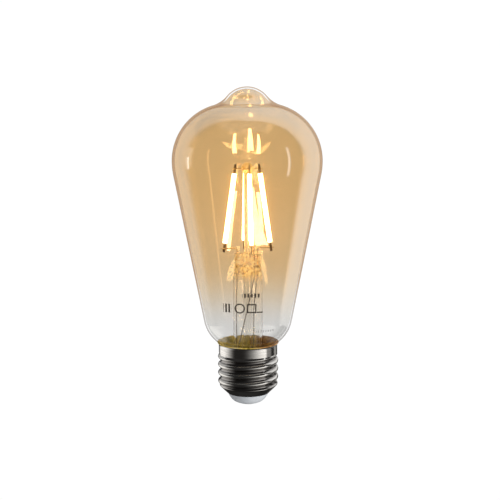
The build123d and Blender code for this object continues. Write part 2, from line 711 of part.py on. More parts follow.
def board_chip(width, height, depth, place, legs, leg_pitch):
    """A moulded chip on the board's front, with a row of bent-flat legs above and below it."""
    with BuildPart() as chip:
        with Locations((place[0], board_front - BOARD_GAP - 0.1 - depth / 2, place[1])):
            Box(width, depth, height)
        chamfer(chip.edges().filter_by(Axis.Y), 0.2)
        for side in (-1, 1):
            leg_z = place[1] + side * (height / 2 + 0.3)
            for number in range(legs):
                leg_x = place[0] + (number - (legs - 1) / 2) * leg_pitch
                with Locations((leg_x, board_front - BOARD_GAP - 0.2, leg_z)):
                    Box(0.4, 0.3, 0.8)
    return chip


finish(board_chip(4.2, 3.6, 1.5, (-5.6, 13.9), 2, 2.6), "rectifier_bridge")
finish(board_chip(4.6, 3.0, 1.3, (-5.6, 9.4), 4, 1.1), "driver_chip")

with BuildPart() as chip_capacitors:
    for place_x, place_z in ((1.0, 8.0), (3.0, 8.0), (5.0, 8.0), (7.2, 8.0), (-2.0, 9.2), (-2.0, 14.4)):
        with Locations((place_x, board_front - BOARD_GAP - 0.3, place_z)):
            Box(1.2, 0.6, 0.7)
finish(chip_capacitors, "chip_capacitors")

# ---- Fusible resistor in the lead between the centre contact and the board ----
with BuildPart() as fusible_resistor:
    with BuildSketch(Plane.YZ.offset(-3.0)):
        with Locations((4.6, 8.3)):
            Circle(0.85)
    extrude(amount=-5.0)
    fillet(fusible_resistor.edges().filter_by(GeomType.CIRCLE), 0.3)
finish(fusible_resistor, "fusible_resistor")

centre_lead = bent_wire(
    [(0.9, 0, INSULATOR_TOP_Z + 0.62), (0.9, 3.0, INSULATOR_TOP_Z + 0.62), (-1.2, 4.6, 8.3), (-3.0, 4.6, 8.3)],
    THIN_WIRE,
    0.5,
)
finish(centre_lead, "centre_lead")

# ---- Radio: a tongue of board that stands up into the foot of the hollow stem ----
with BuildPart() as radio_board:
    with BuildSketch(Plane.XZ.offset(-RADIO_PLACE[0] - RADIO_BOARD[1] / 2)):
        with Locations((0, RADIO_PLACE[1])):
            RectangleRounded(RADIO_BOARD[0], RADIO_BOARD[2], 0.5)
    extrude(amount=RADIO_BOARD[1])
finish(radio_board, "radio_board")

radio_front = RADIO_PLACE[0] - RADIO_BOARD[1] / 2
radio_back = RADIO_PLACE[0] + RADIO_BOARD[1] / 2
with BuildPart() as radio_chip:
    with Locations((0, radio_back + BOARD_GAP + RADIO_CHIP[1] / 2, RADIO_CHIP_Z)):
        Box(*RADIO_CHIP)
    chamfer(radio_chip.edges().filter_by(Axis.Y), 0.2)
finish(radio_chip, "radio_chip")

with BuildPart() as radio_antenna:
    run_length, run_pitch, track = ANTENNA
    turn_x = (run_length - track) / 2
    with BuildSketch(Plane.XZ.offset(BOARD_GAP - radio_front)):
        for run in range(ANTENNA_RUNS):
            with Locations((0, ANTENNA_Z + run * run_pitch)):
                Rectangle(run_length, track)
        for run in range(ANTENNA_RUNS - 1):
            side = turn_x if run % 2 else -turn_x
            with Locations((side, ANTENNA_Z + (run + 0.5) * run_pitch)):
                Rectangle(track, run_pitch + track)
    extrude(amount=0.1)
finish(radio_antenna, "radio_antenna")

with BuildPart() as header_pins:
    pin_length = radio_front - board_back
    with Locations((0, board_back + pin_length / 2, HEADER_Z)):
        with GridLocations(HEADER_PITCH, 1, 4, 1):
            Box(PIN_SQUARE, pin_length - 2 * BOARD_GAP, PIN_SQUARE)
finish(header_pins, "header_pins")
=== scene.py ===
import math

import bpy
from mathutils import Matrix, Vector


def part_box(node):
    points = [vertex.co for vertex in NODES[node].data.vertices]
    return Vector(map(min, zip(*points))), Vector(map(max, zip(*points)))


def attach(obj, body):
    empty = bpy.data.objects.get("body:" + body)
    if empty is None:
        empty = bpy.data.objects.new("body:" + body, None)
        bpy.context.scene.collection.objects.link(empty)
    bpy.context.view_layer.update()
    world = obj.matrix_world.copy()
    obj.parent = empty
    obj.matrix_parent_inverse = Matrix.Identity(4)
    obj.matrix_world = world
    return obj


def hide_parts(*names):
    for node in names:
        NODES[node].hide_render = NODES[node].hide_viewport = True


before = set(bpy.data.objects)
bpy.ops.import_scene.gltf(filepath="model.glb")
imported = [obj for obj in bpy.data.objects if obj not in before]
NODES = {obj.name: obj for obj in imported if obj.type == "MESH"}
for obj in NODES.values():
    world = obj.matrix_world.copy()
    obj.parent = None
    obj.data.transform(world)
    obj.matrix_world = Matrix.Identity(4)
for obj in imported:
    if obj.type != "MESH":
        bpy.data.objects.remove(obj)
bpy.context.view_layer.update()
MM = 0.001

# ---- Glass outline, as the CAD bulb has it ----
TIP_Z = 136.8 * MM
NIPPLE_ARC = 11.0 * MM
HOLLOW_ARC = 12.5 * MM
BULB_RADIUS = 32.0 * MM
WIDEST_Z = 105.5 * MM
DOME_ARC = 24.5 * MM
FLANK_ARC = 30.0 * MM
FLANK_LEAN = math.radians(11.13)
FLANK_FOOT_RADIUS = 19.0 * MM
SHOULDER_ARC = 15.0 * MM
NECK_ARC = 3.0 * MM
NECK_RADIUS = 11.0 * MM
GLASS = 0.9 * MM
COAT_FADE_Z = 33.0 * MM  # the amber coat begins here, above the neck
COAT_FULL_Z = 62.0 * MM
OUTLINE_STEP = 0.6 * MM  # distance between points on the outline's arcs
GLASS_SEGMENTS = 224

# ---- Screw cap, as the CAD shell has it ----
CREST_RADIUS = 13.15 * MM
ROOT_RADIUS = 12.1 * MM
PITCH = 3.629 * MM
CREST_Z = 13.69 * MM + PITCH / 2
THREAD_FADE = 1.5 * MM
SKIRT_RADIUS = 12.75 * MM
RIM_FLARE = 0.45 * MM
RIM_FLARE_HEIGHT = 0.9 * MM
SHELL_FOOT_RADIUS = 9.3 * MM
THREAD_FOOT_Z = 7.9 * MM
THREAD_TOP_Z = 22.6 * MM
SHELL = 0.3 * MM
CORNER_SOFTNESS = 0.6 * MM


class Wire:
    """An output socket that can be used in Python arithmetic with numbers and other sockets."""

    def __init__(self, nodes, socket):
        self.nodes = nodes
        self.socket = socket

    def __add__(self, other):
        return self.nodes.maths("ADD", self, other)

    def __sub__(self, other):
        return self.nodes.maths("SUBTRACT", self, other)

    def __rsub__(self, other):
        return self.nodes.maths("SUBTRACT", other, self)

    def __mul__(self, other):
        return self.nodes.maths("MULTIPLY", self, other)

    def __truediv__(self, other):
        return self.nodes.maths("DIVIDE", self, other)

    def __pow__(self, other):
        return self.nodes.maths("POWER", self, other)

    __radd__ = __add__
    __rmul__ = __mul__


class Nodes:
    """A shader or geometry node tree, filled through one method."""

    def __init__(self, tree):
        self.tree = tree
        tree.nodes.clear()

    def add(self, kind, settings=None, inputs=None, output=0):
        """Adds a node, sets its settings, fills its sockets with values or links, and returns an output."""
        node = self.tree.nodes.new(kind)
        for name, value in (settings or {}).items():
            if name == "stops":
                fill_ramp(node.color_ramp, value)
            else:
                setattr(node, name, value)
        for name, value in (inputs or {}).items():
            if isinstance(value, Wire):
                self.tree.links.new(value.socket, node.inputs[name])
            else:
                node.inputs[name].default_value = value
        return Wire(self, node.outputs[output])

    def maths(self, operation, *values):
        """One Math node."""
        return self.add("ShaderNodeMath", {"operation": operation}, dict(enumerate(values)))

    def smooth(self, value, low, high):
        """0 below low, 1 above high and a smooth step between them. low may be above high."""
        return self.add(
            "ShaderNodeMapRange",
            {"interpolation_type": "SMOOTHSTEP"},
            {"Value": value, "From Min": low, "From Max": high},
        )

    def window(self, value, low, high, soft):
        """1 between low and high and 0 outside, with a soft step at each end."""
        return self.smooth(value, low - soft, low + soft) * self.smooth(value, high + soft, high - soft)

    def bearing(self, x, y):
        """The bearing of a direction in degrees, from the front round to the right."""
        return self.maths("ARCTAN2", x, y * -1.0) * (180 / math.pi)

    def split(self, vector):
        """The three numbers of a vector."""
        first = self.add("ShaderNodeSeparateXYZ", None, {0: vector})
        return [Wire(self, socket) for socket in first.socket.node.outputs]


def fill_ramp(ramp, stops):
    """Gives a colour ramp its stops, a list of (position, colour) in order."""
    ramp.interpolation = "EASE"
    while len(ramp.elements) > 1:
        ramp.elements.remove(ramp.elements[-1])
    ramp.elements[0].position = stops[0][0]
    ramp.elements[0].color = opaque(stops[0][1])
    for place, colour in stops[1:]:
        ramp.elements.new(place).color = opaque(colour)


def opaque(colour):
    """A colour with full alpha. A single number is a grey."""
    if isinstance(colour, (int, float)):
        colour = (colour, colour, colour)
    return (*colour[:3], 1.0)


class Finish(Nodes):
    """One material's node tree."""

    def __init__(self, name):
        self.material = bpy.data.materials.new(name)
        self.material.use_nodes = True
        super().__init__(self.material.node_tree)
        self.place = self.add("ShaderNodeTexCoord", output=3)

    def noise(self, scale, detail=3.0, roughness=0.55, stretch=None):
        """Noise from 0 to 1 on Object coordinates, with its scale in features per metre."""
        place = self.place
        if stretch:
            place = self.add("ShaderNodeMapping", None, {"Vector": place, "Scale": stretch})
        return self.add(
            "ShaderNodeTexNoise", None,
            {"Vector": place, "Scale": scale, "Detail": detail, "Roughness": roughness},
        )

    def ramp(self, value, *stops):
        """A colour ramp on a value."""
        return self.add("ShaderNodeValToRGB", {"stops": stops}, {"Fac": value})

    def bump(self, height, distance, strength=1.0):
        """A normal pushed in and out by a height from 0 to 1."""
        return self.add(
            "ShaderNodeBump", None, {"Height": height, "Distance": distance, "Strength": strength}
        )

    def mixed(self, factor, first, second):
        """A colour between two colours, each a socket or a constant."""
        first, second = (each if isinstance(each, Wire) else opaque(each) for each in (first, second))
        return self.add(
            "ShaderNodeMix", {"data_type": "RGBA"}, {"Factor": factor, 6: first, 7: second}, output=2
        )

    def see_through(self, colour):
        """A Transparent shader."""
        return self.add("ShaderNodeBsdfTransparent", None, {"Color": opaque(colour)})

    def mirror(self, colour, roughness):
        """A Glossy shader."""
        return self.add("ShaderNodeBsdfGlossy", None, {"Color": opaque(colour), "Roughness": roughness})

    def blend(self, factor, first, second):
        """A Mix Shader."""
        return self.add("ShaderNodeMixShader", None, {0: factor, 1: first, 2: second})

    def surface(self, shader):
        """Ends the tree and returns the material."""
        self.add_output(shader)
        return self.material

    def add_output(self, shader):
        """Links the shader to the material's surface."""
        node = self.tree.nodes.new("ShaderNodeOutputMaterial")
        self.tree.links.new(shader.socket, node.inputs["Surface"])

    def solid(self, **inputs):
        """A Principled shader with sockets named by keyword, as in base_color=..., and the material."""
        values = {}
        for name, value in inputs.items():
            if name == "base_color" and isinstance(value, tuple):
                value = opaque(value)
            values[name.replace("_", " ").title().replace("Ior", "IOR")] = value
        return self.surface(self.add("ShaderNodeBsdfPrincipled", None, values))

    def slant(self):
        """How edge-on a surface is seen: 0 straight on and 1 at a grazing angle."""
        return self.add("ShaderNodeLayerWeight", None, {"Blend": 0.5}, output=1)


# ---- Materials ----
def outer_glass():
    """Clear outer face of the bulb, with printed marks. Seen edge-on, it takes the coat's colour."""
    m = Finish("bulb_glass_outside")
    slant = m.slant()
    z = m.split(m.place)[2]
    share = slant**5.0 * 0.22 + 0.04
    rim = m.blend(
        m.smooth(z, COAT_FADE_Z, COAT_FULL_Z),
        m.see_through((0.74, 0.73, 0.72)), m.see_through((0.72, 0.57, 0.41)),
    )
    body = m.blend(m.smooth(slant, 0.70, 0.80), m.see_through(0.99), rim)
    glass = m.blend(share, body, m.mirror(1.0, 0.02))
    ink = m.add("ShaderNodeBsdfDiffuse", None, {"Color": opaque((0.05, 0.04, 0.03))})
    return m.surface(m.blend(printed_marks(m) * 0.97, glass, ink))


def printed_marks(m):
    """A mask of plain marks on the front: a ring, a square, bars, a dash and two rows of small dashes."""
    x, y, z = m.split(m.place)
    stroke = 0.5 * MM
    middle_z = 45.8 * MM

    def line(distance):
        return m.smooth(m.maths("ABSOLUTE", distance), stroke * 0.7, stroke * 0.4)

    def within(value, centre, half):
        soft = stroke / 4
        return m.smooth(m.maths("ABSOLUTE", value - centre), half + soft, half - soft)

    def row(centre_x, centre_z, half_width, half_height, half_pitch, gap, solid):
        box = within(x, centre_x * MM, half_width * MM) * within(z, centre_z * MM, half_height * MM)
        return box * m.smooth(m.maths("PINGPONG", x + 20 * MM, half_pitch * MM), gap * MM, solid * MM)

    up = z - middle_z
    ring_x = x + 3.3 * MM
    ring = line(m.maths("SQRT", ring_x * ring_x + up * up) - 1.9 * MM)
    square_x = m.maths("ABSOLUTE", x - 1.6 * MM)
    square = line(m.maths("MAXIMUM", square_x, m.maths("ABSOLUTE", up)) - 1.7 * MM)
    dash = within(x, 5.0 * MM, 1.2 * MM) * within(z, 44.1 * MM, 0.28 * MM)
    bars = row(-8.4, 45.8, 1.7, 1.9, 0.65, 0.22, 0.38)
    dashes = row(1.3, 51.4, 3.6, 0.85, 0.7, 0.24, 0.38)
    fine = row(7.2, 35.6, 3.8, 0.5, 0.5, 0.2, 0.34)
    marks = m.maths("MAXIMUM", ring, square)
    for other in (bars, dash, dashes, fine * 0.4):
        marks = m.maths("MAXIMUM", marks, other)
    return marks * m.maths("LESS_THAN", y, 0.0)


def amber_coat():
    """Inner face of the bulb: an amber lustre that fades to plain grey glass at the neck."""
    m = Finish("bulb_amber_coat")
    z = m.split(m.place)[2]
    cloud = (m.noise(70.0, 2.0) - 0.5) * 0.05
    height = m.smooth(z, COAT_FADE_Z, COAT_FULL_Z) * 0.8 + m.smooth(z, 50 * MM, 100 * MM) * 0.2 + cloud
    lustre = m.maths("MINIMUM", height, 1.0)
    share = lustre * 0.16 + m.smooth(m.slant(), 0.25, 0.6) * 0.16 + 0.05
    body = m.blend(lustre, m.see_through((0.86, 0.86, 0.855)), m.see_through((1.0, 0.79, 0.51)))
    return m.surface(m.blend(share, body, m.mirror((0.95, 0.93, 0.88), 0.015)))


def stem_glass():
    """Clear glass of the stem. Its press and its bead carry painted golden glints, dark specks and a painted
    glow, which stand in for the lamp's light refracted by the glass.
    """
    m = Finish("stem_glass")
    z = m.split(m.place)[2]
    ripple = m.bump(m.noise(260.0, 1.0), 0.05 * MM, 0.35)
    glass = m.add(
        "ShaderNodeBsdfGlass", None,
        {"Color": opaque((0.985, 0.98, 0.97)), "Roughness": 0.02, "IOR": 1.5, "Normal": ripple},
    )
    # This noise places the painted glints and dark specks in the press and the bead.
    glint_noise = m.noise(620.0, 4.0, 0.7)
    press = m.window(z, 56 * MM, 67 * MM, 2 * MM)
    bead = m.window(z, 100 * MM, 106 * MM, 1 * MM)
    bright = m.smooth(glint_noise, 0.48, 0.56) * 0.42
    dark = m.smooth(glint_noise, 0.44, 0.40) * 0.3
    painted_glint_mask = (press + bead) * (bright + dark + 0.04)
    gold = m.ramp(
        glint_noise, (0.43, (0.22, 0.10, 0.02)), (0.52, (0.95, 0.58, 0.14)), (0.60, (1.0, 0.88, 0.52))
    )
    # Painted glow: a gold colour and an emission that stand in for the lamp's light refracted in the clear
    # glass.
    painted_glow = m.add(
        "ShaderNodeBsdfPrincipled", None,
        {"Base Color": gold, "Roughness": 0.4, "Emission Color": gold, "Emission Strength": 0.7},
    )
    return m.surface(m.blend(painted_glint_mask, glass, painted_glow))


def phosphor():
    """Lit filament coating: warm white, a little uneven along the strip where the dies sit."""
    m = Finish("lit_phosphor")
    grain = m.noise(900.0, 2.0)
    glow = m.ramp(grain, (0.3, (1.0, 0.74, 0.40)), (0.7, (1.0, 0.84, 0.54)))
    return m.solid(
        base_color=(0.95, 0.72, 0.28), roughness=0.45, emission_color=glow, emission_strength=14.0,
        normal=m.bump(grain, 0.03 * MM, 0.5),
    )


def plain(name, light, dark, scale, roughness, spread=0.1, metallic=0.0, bump=0.02, stretch=None, **more):
    """A finish with colour, roughness and height that vary together with noise."""
    m = Finish(name)
    grain = m.noise(scale, 5.0, stretch=stretch)
    return m.solid(
        base_color=m.ramp(grain, (0.3, dark), (0.7, light)),
        roughness=grain * spread + (roughness - spread / 2),
        metallic=metallic,
        normal=m.bump(grain, bump * MM, 0.6),
        **more,
    )


def nickel():
    """Bright nickel plate, drawn round the cap, with a few dull spots and painted shade in the thread's
    roots.
    """
    m = Finish("nickel_plate")
    rolled = m.noise(140.0, 4.0, stretch=(1.0, 1.0, 14.0))
    spots = m.smooth(m.noise(420.0, 2.0), 0.62, 0.74)
    tone = m.ramp(rolled, (0.35, (0.66, 0.64, 0.61)), (0.7, (0.80, 0.78, 0.75)))
    dulled = m.mixed(spots * 0.35, tone, (0.45, 0.42, 0.38))
    x, y, z = m.split(m.place)
    reach = m.maths("SQRT", x * x + y * y)
    # Painted shade: the colour darkens towards black in the thread's roots, where shade falls in the grooves.
    root_shade_mask = m.smooth(reach, CREST_RADIUS - 0.35 * MM, ROOT_RADIUS + 0.15 * MM)
    root_shade_mask = root_shade_mask * m.window(z, THREAD_FOOT_Z, THREAD_TOP_Z, 0.5 * MM)
    root_shaded_tone = m.mixed(root_shade_mask * 0.7, dulled, (0.10, 0.09, 0.09))
    roughness = rolled * 0.10 + spots * 0.12 + 0.09
    normal = m.bump(rolled, 0.03 * MM, 0.35)
    return m.solid(base_color=root_shaded_tone, metallic=1.0, roughness=roughness, normal=normal)


def cement():
    """Basing cement behind the neck glass: mottled gold and olive, browner on the right, with a faint painted
    glow.
    """
    m = Finish("basing_cement")
    x = m.split(m.place)[0]
    patch = m.noise(420.0, 5.0, 0.7)
    gold = m.ramp(patch, (0.35, (0.30, 0.22, 0.02)), (0.5, (0.72, 0.52, 0.10)), (0.66, (0.95, 0.76, 0.36)))
    brown = m.ramp(patch, (0.35, (0.24, 0.10, 0.02)), (0.68, (0.66, 0.36, 0.12)))
    colour = m.mixed(m.smooth(x, 0.5 * MM, 7 * MM), gold, brown)
    # Painted glow: the emission makes the cement give light of its own, standing in for the lamp light that
    # reaches it in the neck.
    return m.solid(
        base_color=colour, roughness=0.6, emission_color=colour, emission_strength=0.22,
        normal=m.bump(patch, 0.2 * MM, 0.8),
    )


def circuit_board():
    """Green solder mask with faint copper tracks under it."""
    m = Finish("solder_mask")
    x, _, z = m.split(m.place)
    tracks = m.smooth(m.maths("PINGPONG", z + x * 0.3, 0.6 * MM), 0.36 * MM, 0.42 * MM)
    broken = tracks * m.smooth(m.noise(320.0, 1.0), 0.48, 0.52)
    colour = m.ramp(broken, (0.0, (0.015, 0.12, 0.05)), (1.0, (0.03, 0.22, 0.09)))
    return m.solid(base_color=colour, roughness=0.32, normal=m.bump(broken, 0.03 * MM))


def wound_copper():
    """Enamelled copper turns, as ridges round the winding's axis, with painted shade in the grooves between
    them.
    """
    m = Finish("enamelled_copper")
    y = m.split(m.place)[1]
    turn = m.maths("PINGPONG", y, 0.12 * MM) / (0.12 * MM)
    # Painted shade: the colour is dark in the grooves between turns and light on their crowns.
    colour = m.ramp(turn, (0.0, (0.25, 0.07, 0.02)), (1.0, (0.72, 0.30, 0.12)))
    return m.solid(base_color=colour, metallic=0.8, roughness=0.3, normal=m.bump(turn, 0.06 * MM))


FINISHES = {
    "stem_glass": stem_glass(),
    "phosphor": phosphor(),
    "nickel": nickel(),
    "cement": cement(),
    "board": circuit_board(),
    "winding": wound_copper(),
    "strip": plain("ceramic_strip", (0.92, 0.92, 0.9), (0.8, 0.8, 0.78), 900.0, 0.4),
    "chip": plain("sapphire_die", (0.7, 0.8, 0.95), (0.5, 0.6, 0.8), 1500.0, 0.15, coat_weight=0.6),
    "tab": plain("tab_steel", (0.30, 0.27, 0.23), (0.16, 0.14, 0.12), 700.0, 0.38, metallic=1.0),
    # Painted light: the warm gold colour stands in for the lamp's glow on grey nickel wire.
    "wire": plain("nickel_wire", (0.86, 0.66, 0.40), (0.60, 0.42, 0.22), 800.0, 0.38, metallic=0.7),
    "seal": plain("seal_wire_metal", (0.62, 0.22, 0.10), (0.36, 0.10, 0.04), 700.0, 0.4, metallic=1.0),
    "lead": plain("tinned_copper", (0.30, 0.28, 0.26), (0.16, 0.15, 0.14), 800.0, 0.4, metallic=1.0),
    "contact": plain("tinned_brass", (0.80, 0.74, 0.62), (0.55, 0.48, 0.36), 500.0, 0.3, metallic=1.0),
    "insulator": plain(
        "white_moulding", (0.86, 0.89, 0.92), (0.76, 0.80, 0.85), 160.0, 0.32, bump=0.04, coat_weight=0.2
    ),
    "sleeve": plain("sleeve_film", (0.82, 0.83, 0.8), (0.66, 0.67, 0.63), 300.0, 0.5),
    "can": plain("can_aluminium", (0.75, 0.76, 0.78), (0.55, 0.56, 0.58), 500.0, 0.3, metallic=1.0),
    "bung": plain("black_rubber", (0.05, 0.05, 0.05), (0.02, 0.02, 0.02), 900.0, 0.7),
    "ferrite": plain("ferrite", (0.12, 0.12, 0.12), (0.05, 0.05, 0.05), 900.0, 0.6, bump=0.05),
    "resin": plain("chip_resin", (0.06, 0.06, 0.065), (0.02, 0.02, 0.022), 1200.0, 0.5),
    "ceramic": plain("chip_ceramic", (0.62, 0.46, 0.28), (0.42, 0.30, 0.18), 1200.0, 0.45),
    "lacquer": plain("resistor_lacquer", (0.32, 0.47, 0.62), (0.2, 0.33, 0.48), 500.0, 0.3),
}

NODE_FINISHES = {
    "glass_stem": "stem_glass",
    "exhaust_tube": "stem_glass",
    "centre_post": "stem_glass",
    "seal_wires": "seal",
    "cap_insulator": "insulator",
    "contact_plate": "contact",
    "contact_pin": "contact",
    "header_pins": "contact",
    "basing_cement": "cement",
    "driver_sleeve": "sleeve",
    "driver_board": "board",
    "radio_board": "board",
    "bulk_capacitor": "can",
    "capacitor_bung": "bung",
    "inductor_core": "ferrite",
    "inductor_winding": "winding",
    "radio_antenna": "winding",
    "rectifier_bridge": "resin",
    "driver_chip": "resin",
    "radio_chip": "resin",
    "chip_capacitors": "ceramic",
    "fusible_resistor": "lacquer",
}
NAME_FINISHES = (
    ("_coating", "phosphor"), ("_strip", "strip"), ("_chips", "chip"), ("_tabs", "tab"),
    ("inner_lead", "wire"), ("upper_bridge", "wire"), ("crossbar", "wire"),
    ("outer_lead", "lead"), ("shell_lead", "lead"), ("centre_lead", "lead"),
)


def finish_of(node):
    """The finish of a CAD node that is kept as it is, or None."""
    if node in NODE_FINISHES:
        return FINISHES[NODE_FINISHES[node]]
    for part, finish in NAME_FINISHES:
        if part in node:
            return FINISHES[finish]
    return None


# ---- Glass bulb ----
def circles_meet(centre_a, radius_a, centre_b, radius_b):
    """Where two circles cross, on the left of the way from the first centre to the second."""
    way = centre_b - centre_a
    run = (radius_a**2 - radius_b**2 + way.length_squared) / (2 * way.length)
    ahead = way.normalized()
    return centre_a + ahead * run + Vector((-ahead.y, ahead.x)) * math.sqrt(radius_a**2 - run**2)


def arc(centre, radius, start, end):
    """Points on an arc between two directions from its centre, the short way round."""
    first = math.atan2(start.y, start.x)
    turn = start.angle_signed(end)
    count = max(4, round(abs(turn) * radius / OUTLINE_STEP))
    angles = (first - turn * step / count for step in range(count + 1))
    return [centre + Vector((math.cos(angle), math.sin(angle))) * radius for angle in angles]


def glass_outline(inset):
    """The bulb's outline from the tip to the neck, as (radius, height), set in from the outer surface."""
    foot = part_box("glass_envelope")[0].z
    nipple = Vector((0, TIP_Z - NIPPLE_ARC))
    dome = Vector((BULB_RADIUS - DOME_ARC, WIDEST_Z))
    flank = Vector((BULB_RADIUS - FLANK_ARC, WIDEST_Z))
    hollow = circles_meet(nipple, NIPPLE_ARC + HOLLOW_ARC, dome, DOME_ARC + HOLLOW_ARC)
    lean = Vector((math.cos(FLANK_LEAN), -math.sin(FLANK_LEAN)))
    flank_top = flank + lean * FLANK_ARC
    drop = (flank_top.x - FLANK_FOOT_RADIUS) / math.tan(FLANK_LEAN)
    shoulder = Vector((FLANK_FOOT_RADIUS, flank_top.y - drop)) - lean * SHOULDER_ARC
    across = NECK_RADIUS + NECK_ARC - shoulder.x
    fall = math.sqrt((SHOULDER_ARC + NECK_ARC) ** 2 - across**2)
    neck = Vector((NECK_RADIUS + NECK_ARC, shoulder.y - fall))

    up = Vector((0, 1))
    out = Vector((1, 0))
    points = arc(nipple, NIPPLE_ARC - inset, up, hollow - nipple)
    points += arc(hollow, HOLLOW_ARC + inset, nipple - hollow, dome - hollow)[1:]
    points += arc(dome, DOME_ARC - inset, hollow - dome, out)[1:]
    points += arc(flank, FLANK_ARC - inset, out, lean)[1:]
    points += straight(points[-1], shoulder + lean * (SHOULDER_ARC - inset), 60)
    points += arc(shoulder, SHOULDER_ARC - inset, lean, neck - shoulder)[1:]
    points += arc(neck, NECK_ARC + inset, shoulder - neck, -out)[1:]
    points += straight(points[-1], Vector((NECK_RADIUS - inset, foot)), 5)
    return points


def straight(start, end, count):
    """Points along a line, without its start."""
    return [start.lerp(end, step / count) for step in range(1, count + 1)]


def lathe(name, outline, segments, slots):
    """Turns an outline round Z into a closed mesh. slots gives each stretch's material index."""
    verts = []
    rings = []
    for point in outline:
        if point.x < 1e-7:
            rings.append([len(verts)] * segments)
            verts.append((0, 0, point.y))
            continue
        rings.append(list(range(len(verts), len(verts) + segments)))
        for step in range(segments):
            angle = 2 * math.pi * step / segments
            verts.append((point.x * math.cos(angle), point.x * math.sin(angle), point.y))
    faces = []
    places = []
    for number, (ring, following) in enumerate(zip(rings, rings[1:])):
        for step in range(segments):
            after = (step + 1) % segments
            corners = [ring[step], following[step], following[after], ring[after]]
            faces.append(list(dict.fromkeys(corners)))
            places.append(slots[number])
    mesh = bpy.data.meshes.new(name)
    mesh.from_pydata(verts, [], faces)
    mesh.polygons.foreach_set("material_index", places)
    mesh.update()
    piece = bpy.data.objects.new(name, mesh)
    bpy.context.scene.collection.objects.link(piece)
    return piece


def crisp(piece, angle):
    """Shades a mesh smooth, with edges sharper than the angle left hard."""
    piece.data.polygons.foreach_set("use_smooth", [True] * len(piece.data.polygons))
    piece.data.set_sharp_from_angle(angle=math.radians(angle))


def make_bulb():
    """The blown glass, clear outside and coated inside."""
    outside = glass_outline(0.0)
    inside = glass_outline(GLASS)
    outline = outside + inside[::-1]
    slots = [0] * len(outside) + [1] * len(inside)
    piece = lathe("amber_bulb", outline, GLASS_SEGMENTS, slots)
    piece.data.materials.append(outer_glass())
    piece.data.materials.append(amber_coat())
    crisp(piece, 40)
    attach(piece, "root")
    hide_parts("glass_envelope")


# ---- Screw shell ----
def shell_tree(material):
    """A geometry tree that rolls a right-hand knuckle thread into a thin cap shell."""
    tree = bpy.data.node_groups.new("rolled_screw_shell", "GeometryNodeTree")
    sizes = {
        "Crest Radius": CREST_RADIUS,
        "Root Radius": ROOT_RADIUS,
        "Pitch": PITCH,
        "Crest Height": CREST_Z,
        "Foot Radius": SHELL_FOOT_RADIUS,
        "Foot Height": 0.0,
        "Skirt Radius": SKIRT_RADIUS,
        "Rim Height": 0.0,
        "Thread Foot": 0.0,
        "Thread Top": 0.0,
    }
    for name, value in sizes.items():
        tree.interface.new_socket(name, in_out="INPUT", socket_type="NodeSocketFloat").default_value = value
    for name, value in (("Around", 240), ("Rows", 150)):
        tree.interface.new_socket(name, in_out="INPUT", socket_type="NodeSocketInt").default_value = value
    tree.interface.new_socket("Shell", in_out="OUTPUT", socket_type="NodeSocketGeometry")
    g = Nodes(tree)
    source = tree.nodes.new("NodeGroupInput")
    size = {socket.name: Wire(g, socket) for socket in source.outputs if socket.name}

    grid = g.add(
        "GeometryNodeMeshGrid", None,
        {"Size X": 1.0, "Size Y": 1.0, "Vertices X": size["Around"], "Vertices Y": size["Rows"]},
    )
    across, along, _ = g.split(g.add("GeometryNodeInputPosition"))
    turn = across + 0.5
    z = size["Foot Height"] + (size["Rim Height"] - size["Foot Height"]) * (along + 0.5)

    mean = (size["Root Radius"] + size["Crest Radius"]) * 0.5
    share = g.maths("MINIMUM", g.maths("MAXIMUM", (z - size["Thread Top"]) / THREAD_FADE + 1.0, 0.0), 1.0)
    middle = mean + (size["Skirt Radius"] - mean) * share
    cone = size["Foot Radius"] + z - size["Foot Height"]
    plain_wall = g.maths("SMOOTH_MIN", middle, cone, CORNER_SOFTNESS)
    lip = g.maths("MAXIMUM", (z - size["Rim Height"]) / RIM_FLARE_HEIGHT + 1.0, 0.0)

    depth = size["Crest Radius"] - size["Root Radius"]
    quarter = size["Pitch"] / 4.0
    knuckle = (quarter * quarter + depth * depth * 0.25) / depth
    phase = g.maths("FRACT", (z - size["Crest Height"]) / size["Pitch"] - turn + 0.5)
    from_crest = g.maths("ABSOLUTE", phase - 0.5) * size["Pitch"]
    crest = g.maths("SQRT", g.maths("MAXIMUM", knuckle * knuckle - from_crest * from_crest, 0.0))
    from_root = quarter * 2.0 - from_crest
    root = g.maths("SQRT", g.maths("MAXIMUM", knuckle * knuckle - from_root * from_root, 0.0))
    near = g.maths("LESS_THAN", from_crest, quarter)
    wave = (depth * 0.5 - knuckle + crest) * near + (knuckle - depth * 0.5 - root) * (1.0 - near)
    rise = g.maths("MINIMUM", g.maths("MAXIMUM", (z - size["Thread Foot"]) / THREAD_FADE, 0.0), 1.0)
    fall = g.maths("MINIMUM", g.maths("MAXIMUM", (size["Thread Top"] - z) / THREAD_FADE, 0.0), 1.0)
    strength = g.smooth(rise * fall, 0.0, 1.0)

    radius = plain_wall + lip * lip * RIM_FLARE + wave * strength
    angle = turn * (2 * math.pi)
    spot = g.add(
        "ShaderNodeCombineXYZ", None,
        {"X": radius * g.maths("COSINE", angle), "Y": radius * g.maths("SINE", angle), "Z": z},
    )
    shell = g.add("GeometryNodeSetPosition", None, {"Geometry": grid, "Position": spot})
    shell = g.add("GeometryNodeMergeByDistance", None, {"Geometry": shell, "Distance": 0.001 * MM})
    shell = g.add("GeometryNodeRealizeInstances", None, {"Geometry": shell})
    shell = g.add("GeometryNodeSetMaterial", None, {"Geometry": shell, "Material": material})
    sink = tree.nodes.new("NodeGroupOutput")
    tree.links.new(shell.socket, sink.inputs[0])
    return tree


